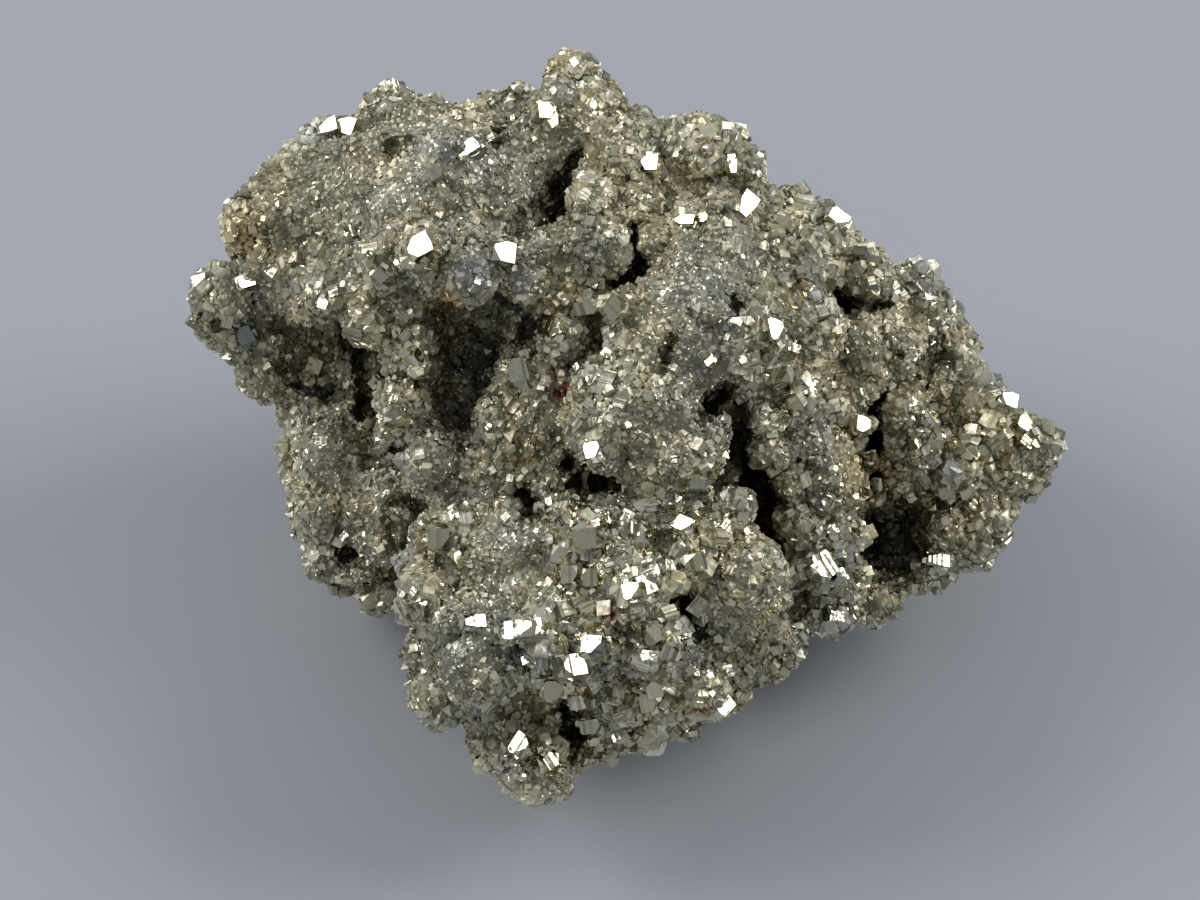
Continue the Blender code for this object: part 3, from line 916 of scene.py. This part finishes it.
def pyrite(name, stains, glossy=0.5, frost=0.5, striated=0.0, stripe=0.15, brightness=1.0,
           reach=0.2, lean=0.16, spread=1.0, polish=0.11, dull=0.46, curved=0.0):
    """Pale brassy metal. Each crystal has its own tone and gloss, and its faces are stepped, striated or
    frosted. There are patches of tarnish and spots of rust. Painted shade darkens deep hollows and creases,
    the crystals' feet and the grooves of striations.

    glossy is the share of the crystals that shine, polish their roughness and dull that of the others.
    reach is how far up from the ground a crystal's foot is darkened as painted shade, and stripe a
    striation's width, in mm. spread is how unlike the crystals' tones are, and lean, frost, striated and
    curved how far faces' parts lean."""
    n = Nodes(name)
    place = n.new("TexCoord").outputs["Object"]
    geometry = n.new("NewGeometry")
    island = geometry.outputs["Random Per Island"]
    second = n.math("FRACT", n.math("MULTIPLY", island, 37.17))
    third = n.math("FRACT", n.math("MULTIPLY", island, 91.73))

    def tone(colour):
        return (*(part * brightness for part in colour), 1)

    darker = n.ramp(island, 0, 1, 0.5 - spread / 2, 0.5 + spread / 2)
    colour = n.mix(darker, tone(PALE_BRASS), tone(DARK_BRASS))
    blue = n.math("MULTIPLY", n.ramp(n.noise(place, 7), 0.5, 0.66), n.ramp(second, 0.35, 0.75))
    colour = n.mix(blue, colour, tone(BLUE_GREY))
    brown = n.math("MULTIPLY", n.ramp(n.noise(place, 5, 3), 0.55, 0.72), n.ramp(third, 0.5, 0.85))
    colour = n.mix(brown, colour, tone(BROWN))
    film = n.ramp(n.noise(place, 0.5, 3), 0.45, 0.75, 0, 0.3)
    colour = n.mix(film, colour, tone(FILM))
    colour = n.vector("MULTIPLY", colour, n.new("Attribute", attribute_name="tint").outputs["Vector"])
    sky = n.new("Attribute", attribute_name="openness").outputs["Fac"]
    # Painted shade: where little sky is open, in hollows and creases, the colour goes toward dark brown.
    colour = n.mix(n.ramp(sky, 0.34, 0.06, 0, 0.85), colour, tone(HOLLOW_SHADE))
    # Painted shade at each crystal's foot, fading out reach mm over the ground.
    if reach:
        height = n.new("Attribute", attribute_name="height").outputs["Fac"]
        colour = n.mix(n.ramp(height, reach, -0.1, 0, 0.5), colour, tone(ROOT_SHADE))
    for centre, radius in stains:
        distance = n.vector("DISTANCE", place, centre, "Value")
        spot = n.ramp(distance, radius * MM, radius * 0.4 * MM)
        spot = n.math("MULTIPLY", spot, n.ramp(n.noise(place, 0.9, 2), 0.42, 0.6))
        colour = n.mix(spot, colour, RUST)
    n.shader.inputs["Metallic"].default_value = 1

    # More of the crystals are bright toward the specimen's front.
    axes = n.new("SeparateXYZ")
    n.link(place, axes.inputs[0])
    forward = n.ramp(axes.outputs["Y"], 8 * MM, -20 * MM, -0.03, 0.16)
    rough = n.ramp(n.math("SUBTRACT", second, forward), glossy - 0.1, glossy + 0.1, polish, dull)
    patchy = n.ramp(n.noise(place, 0.4, 2), 0.35, 0.65, -0.05, 0.12)
    n.link(n.math("ADD", rough, patchy, clamp=True), n.shader.inputs["Roughness"])

    frosted = n.math("MULTIPLY", n.ramp(n.noise(place, 1.1, 2), 0.4, 0.6, 0.25, 1), frost)
    leans = n.vector("ADD", leaning(n, place, 0.55, lean), leaning(n, place, 0.17, frosted))
    if curved:
        bend = n.vector("SUBTRACT", n.noise(place, 0.45, 2, output=1), (0.5, 0.5, 0.5))
        leans = n.vector("ADD", leans, n.vector("SCALE", bend, curved))
    if striated:
        step, groove = striations(n, stripe, island)
        some = n.ramp(third, 0.1, 0.5)
        # Painted shade in the grooves of the striations.
        colour = n.mix(n.math("MULTIPLY", groove, some), colour, tone(GROOVE_SHADE))
        tip = n.math("MULTIPLY", n.math("MULTIPLY", n.math("SUBTRACT", step, 0.5), striated), some)
        way = n.new("Attribute", attribute_name="stripe_way").outputs["Vector"]
        leans = n.vector("ADD", leans, n.vector("SCALE", way, tip))
    n.link(colour, n.shader.inputs["Base Color"])
    facing = n.vector("NORMALIZE", n.vector("ADD", geometry.outputs["Normal"], leans))
    n.link(facing, n.shader.inputs["Normal"])
    return n.material


def striations(n, width, island):
    """A number that is the same all along a striation about width mm wide, and how dark the painted
    shade in its groove is.
    """
    lines = n.new("TexVoronoi", voronoi_dimensions="1D")
    along = n.new("Attribute", attribute_name="stripe").outputs["Fac"]
    n.link(n.math("ADD", along, n.math("MULTIPLY", island, 50)), lines.inputs["W"])
    lines.inputs["Scale"].default_value = 1 / width
    each = n.new("SeparateColor")
    n.link(lines.outputs["Color"], each.inputs[0])
    return each.outputs[0], n.ramp(each.outputs[1], 0.6, 0.8, 0, 0.7)


def plain(name, colour, roughness):
    n = Nodes(name)
    n.shader.inputs["Base Color"].default_value = (*colour, 1)
    n.shader.inputs["Roughness"].default_value = roughness
    return n.material


# Growing the crust

# The three sizes of crystal: the most of them, how far apart they stand in mm, how coarse the crust and
# how open the ground is where they first grow, their least and greatest half widths in mm, and how high
# over the ground their middles stand at most, in half widths.
CRYSTAL_SIZES = {
    "coarse": (4600, 1.0, -0.1, 0.4, (0.40, 0.76), -0.15),
    "middle": (16000, 0.56, -0.75, 0.22, (0.28, 0.54), 0.05),
    "fine": (50000, 0.27, -9.0, 0.0, (0.15, 0.29), 0.05),
}

HABIT_SHARES = {
    "coarse": {
        **{f"broken {seed}": 0.08 for seed in range(BROKEN_COUNT)},
        "cut cube": 0.1,
        "stepped cube": 0.1,
        "ridged cube": 0.06,
        "rounded": 0.1,
        "pyritohedron": 0.08,
        "cut pyritohedron": 0.08,
    },
    "middle": {
        "cube": 0.25,
        "block": 0.15,
        "bar": 0.05,
        "octahedron": 0.15,
        "pyritohedron": 0.08,
        "rounded": 0.06,
        **{f"broken {seed}": 0.05 for seed in range(5)},
    },
    "fine": {"cube": 0.3, "corner": 0.45, "octahedron": 0.25},
}

ALIKE_SHARE = 0.35  # of the smaller crystals, turned as the coarse one beside them is
FACED_SHARE = 0.4  # of the crystals, with a face nearly level with the ground
FACED_TILT = 50  # degrees
UPRIGHT_TILT = 35  # degrees
DEEPEST_SET = -0.75  # half widths, from the ground to a crystal's middle
STRETCH = 0.15  # of a crystal's half width, more or less along each axis
GRAIN_GROWTH = 0.25  # of a half width, more or less as the crust is coarse or fine
OPEN_GROWTH = 0.25  # of a half width, less in the deepest hollow
COARSE_FADE = 0.5  # of coarseness, from where crystals first grow to where nothing keeps them away
OPEN_FADE = 0.15  # of openness, in the same way
COARSER_LUMP = 0.7  # of coarseness, from the finest lump to the coarsest


def grow_size(size, surface, coarse_ones):
    """Places crystals of one size. Returns their roots on the ground, its outward ways and marks there,
    their middles, half widths, frames for pyramids, frames for other habits, and the numbers of their
    habits. coarse_ones is None for the coarse ones, and otherwise a tree of their roots, and frames."""
    most, spacing, least, open_least, (small, large), highest_set = CRYSTAL_SIZES[size]
    places, ways, marks = scattered(surface, most, spacing)
    coarse = patch_grain(places) + (marks[:, 1] - 0.5) * COARSER_LUMP
    coarse_chance = np.clip((coarse - least) / COARSE_FADE, 0, 1)
    open_chance = np.clip((marks[:, 0] - open_least) / OPEN_FADE, 0, 1)
    kept = rng.random(len(places)) < coarse_chance * open_chance
    places, ways, marks, coarse = places[kept], ways[kept], marks[kept], coarse[kept]
    count = len(places)
    half = small + (large - small) * rng.random(count) ** 2
    grown = 1 + GRAIN_GROWTH * np.clip(coarse, -1, 1.2)
    half *= grown * (1 - OPEN_GROWTH + OPEN_GROWTH * marks[:, 0])
    frames = rotations(count)
    if coarse_ones is not None:
        tree, coarse_frames = coarse_ones
        alike = rng.random(count) < ALIKE_SHARE
        nearest = np.array([tree.find(place)[1] for place in places])
        frames[alike] = coarse_frames[nearest[alike]]
    upright = tilted(ways, UPRIGHT_TILT)
    faced = rng.random(count) < FACED_SHARE
    turned = frames.copy()
    turned[faced] = tilted(ways[faced], FACED_TILT)
    lift = rng.uniform(DEEPEST_SET, highest_set, count) * half
    centres = places + ways * (lift * MM)[:, None]
    stretch = 1 + rng.uniform(-STRETCH, STRETCH, (count, 3))
    halves = half[:, None] * stretch * MM
    shares = list(HABIT_SHARES[size].values())
    picked = rng.choice(len(shares), size=count, p=np.array(shares) / sum(shares))
    return places, ways, marks, centres, halves, upright, turned, picked


CRUST_PIECES = {
    "coarse": ("crust_coarse",),
    "middle": ("crust_front", "crust_back", "crust_left", "crust_right"),
    "fine": ("sugar_left", "sugar_right", "sugar_back"),
}


def pieces_at(size, centres):
    """The crust's pieces that crystals of that size go into, and which of the crystals each one takes."""
    front = nearness(centres) > 0
    left = centres[:, 0] < 0
    if size == "coarse":
        return {"crust_coarse": np.ones(len(centres), bool)}
    if size == "middle":
        return {
            "crust_front": front & left,
            "crust_right": front & ~left,
            "crust_left": ~front & left,
            "crust_back": ~front & ~left,
        }
    return {"sugar_left": front & left, "sugar_right": front & ~left, "sugar_back": ~front}


def grow(surface):
    """Three sizes of crystal, coarse ones first. Returns the crust of each piece."""
    crusts = {name: Crust() for names in CRUST_PIECES.values() for name in names}
    coarse_ones = None
    for size, shares in HABIT_SHARES.items():
        places, ways, marks, centres, halves, upright, turned, picked = grow_size(size, surface, coarse_ones)
        if coarse_ones is None:
            coarse_ones = (tree_of(places), turned)
        for i, habit in enumerate(shares):
            frames = upright if habit == "corner" else turned
            for name, inside in pieces_at(size, centres).items():
                mine = (picked == i) & inside
                rows = (centres, frames, halves, places, ways, marks)
                crusts[name].add(habit, *(row[mine] for row in rows))
    return crusts


# The crystals that stand out

STANDING_MARKS = (1.0, 0.6)
STANDING_ROOT = 0.5  # mm, below the ground
# A crystal's size, and its middle's height over the ground in half widths. Those that look at the viewer
# are a little smaller and set deeper.
VIEWER_FIT = (0.85, 0.05)
SIDE_FIT = (1, 0.25)
# The smaller crystals that are grown into each one that stands out
GROWN_IN = 3
GROWN_IN_REACH = 0.9  # half widths from its middle
GROWN_IN_DEPTHS = (0.1, 0.4)  # half widths
GROWN_IN_LEAN = 0.35  # radians
GROWN_IN_SIZES = (0.45, 0.75)  # of its size


def add_noted(crust, tree):
    """The crystals that stand out, each with smaller ones grown into it."""
    for across, down, width, height, turn, way in NOTED_CRYSTALS:
        hit, ground_way = tree.ray_cast(EYE, sight_line(across, down))[:2]
        if hit is None:
            continue
        size, lift = VIEWER_FIT if way == "viewer" else SIDE_FIT
        out = FACE_WAYS[way]
        side = UP_THE_VIEW.cross(out).normalized()
        turned = Matrix.Rotation(math.radians(turn), 3, "Z")
        axes = Matrix((side, out.cross(side), out)).transposed() @ turned
        halves = np.array([width, height, min(width, height)]) / PIXELS / 2 * MM * size
        centre = hit + out * halves[2] * lift
        root = hit - ground_way * STANDING_ROOT * MM

        def add_one(habit, middle, frame, half):
            row = (middle, frame, half, root, ground_way, STANDING_MARKS)
            crust.add(habit, *(np.array([tuple(part)]) for part in row))

        add_one(f"broken {rng.integers(BROKEN_COUNT)}", centre, axes, halves)
        for _ in range(GROWN_IN):
            across_face = rng.uniform(-GROWN_IN_REACH, GROWN_IN_REACH, 2) * halves[:2]
            shift = axes @ Vector((*across_face, -halves[2] * rng.uniform(*GROWN_IN_DEPTHS)))
            lean = Euler(rng.uniform(-GROWN_IN_LEAN, GROWN_IN_LEAN, 3)).to_matrix()
            habit = f"broken {rng.integers(BROKEN_COUNT)}"
            add_one(habit, centre + shift, lean @ axes, halves * rng.uniform(*GROWN_IN_SIZES))


# The specimen


def piece(name, mesh, material):
    obj = bpy.data.objects.new(name, mesh)
    bpy.context.scene.collection.objects.link(obj)
    mesh.materials.append(material)
    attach(obj, "root")
    return obj


def build_specimen(frame):
    mesh, tree, surface = ground_mesh(frame["nodes"][NODE])
    stains = []
    for across, down, radius in STAINS:
        hit = tree.ray_cast(EYE, sight_line(across, down))[0]
        if hit is not None:
            stains.append((hit, radius))
    # The ground shows between crystals and in hollows; its metal at about half brightness is painted shade
    # there.
    metal = pyrite("pyrite ground", stains, glossy=0.2, frost=0.6, dull=0.6, brightness=0.53, reach=0)
    ground = piece("ground", mesh, metal)
    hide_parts(NODE)

    metals = {
        "coarse": pyrite("pyrite large crystals", stains, glossy=0.46, frost=0.15, striated=0.34,
                         stripe=0.17),
        "middle": pyrite("pyrite small crystals", stains, glossy=0.26, frost=0.12, striated=0.4,
                         reach=0.11, spread=0.9, polish=0.15, dull=0.52, lean=0.12, curved=0.5),
        "fine": pyrite("pyrite fine crystals", stains, glossy=0.06, frost=0.05, reach=0.05, spread=0.6,
                       polish=0.28, dull=0.64, lean=0.08, curved=0.7),
    }
    crusts = grow(surface)
    for size, names in CRUST_PIECES.items():
        for name in names:
            piece(name, crusts[name].mesh(name), metals[size])

    standing = Crust()
    add_noted(standing, tree)
    metal = pyrite("pyrite standing crystals", stains, glossy=0.85, frost=0.0, striated=0.3, stripe=0.26,
                   lean=0.04)
    piece("standing_crystals", standing.mesh("standing_crystals"), metal)


# The photograph's view and light

FLOOR_REACH = 3  # m
FLOOR_COLOUR = (0.375, 0.393, 0.435)
FLOOR_ROUGHNESS = 0.7
ROOM_COLOUR = (0.94, 0.97, 1, 1)
ROOM_LEVEL_LIGHT = 0.14
ROOM_OVERHEAD_LIGHT = 0.46
SOFTBOX_WAYS = {"left softbox": (-0.76, 0.14, 0.63), "right softbox": (0.76, 0.14, 0.63)}
SOFTBOX_DISTANCE = 0.6  # m
SOFTBOX_SIZE = 0.32  # m
SOFTBOX_RADIANCE = 6.0
SENSOR = 36  # mm


def lay_floor():
    mesh = bpy.data.meshes.new("floor")
    corners = [(x * FLOOR_REACH, y * FLOOR_REACH, 0) for x, y in ((-1, -1), (1, -1), (1, 1), (-1, 1))]
    mesh.from_pydata(corners, [], [(0, 1, 2, 3)])
    mesh.materials.append(plain("floor", FLOOR_COLOUR, FLOOR_ROUGHNESS))
    floor = bpy.data.objects.new("floor", mesh)
    bpy.context.scene.collection.objects.link(floor)


def light_room():
    """A room that is brighter overhead than at the specimen's level, and a softbox on either side."""
    world = bpy.data.worlds.new("room")
    world.use_nodes = True
    nodes, links = world.node_tree.nodes, world.node_tree.links
    background = nodes["Background"]
    background.inputs["Color"].default_value = ROOM_COLOUR
    split = nodes.new("ShaderNodeSeparateXYZ")
    links.new(nodes.new("ShaderNodeTexCoord").outputs["Generated"], split.inputs[0])
    overhead = nodes.new("ShaderNodeMapRange")
    overhead.inputs["To Min"].default_value = ROOM_LEVEL_LIGHT
    overhead.inputs["To Max"].default_value = ROOM_OVERHEAD_LIGHT
    links.new(split.outputs["Z"], overhead.inputs["Value"])
    links.new(overhead.outputs[0], background.inputs["Strength"])
    bpy.context.scene.world = world
    bpy.context.scene.view_settings.view_transform = "Standard"

    for name, way in SOFTBOX_WAYS.items():
        lamp = bpy.data.lights.new(name, "AREA")
        lamp.shape = "SQUARE"
        lamp.size = SOFTBOX_SIZE
        lamp.energy = SOFTBOX_RADIANCE * math.pi * SOFTBOX_SIZE**2
        softbox = bpy.data.objects.new(name, lamp)
        bpy.context.scene.collection.objects.link(softbox)
        way = Vector(way).normalized()
        softbox.location = MIDDLE + way * SOFTBOX_DISTANCE
        softbox.rotation_euler = way.to_track_quat("Z", "Y").to_euler()


def place_camera():
    width, height = PHOTO_SIZE
    lens = bpy.data.cameras.new("camera")
    lens.sensor_width = SENSOR
    lens.lens = SENSOR * SIGHT_DISTANCE / (width / PIXELS)
    lens.shift_x = -(MIDDLE_PIXEL[0] - width / 2) / width
    lens.shift_y = -(height / 2 - MIDDLE_PIXEL[1]) / width
    lens.clip_start = 0.01
    camera = bpy.data.objects.new("camera", lens)
    bpy.context.scene.collection.objects.link(camera)
    camera.location = EYE
    camera.rotation_euler = (math.pi / 2 - SIGHT_ELEVATION, 0, 0)
    bpy.context.scene.camera = camera


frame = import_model()
build_specimen(frame)
lay_floor()
light_room()
place_camera()
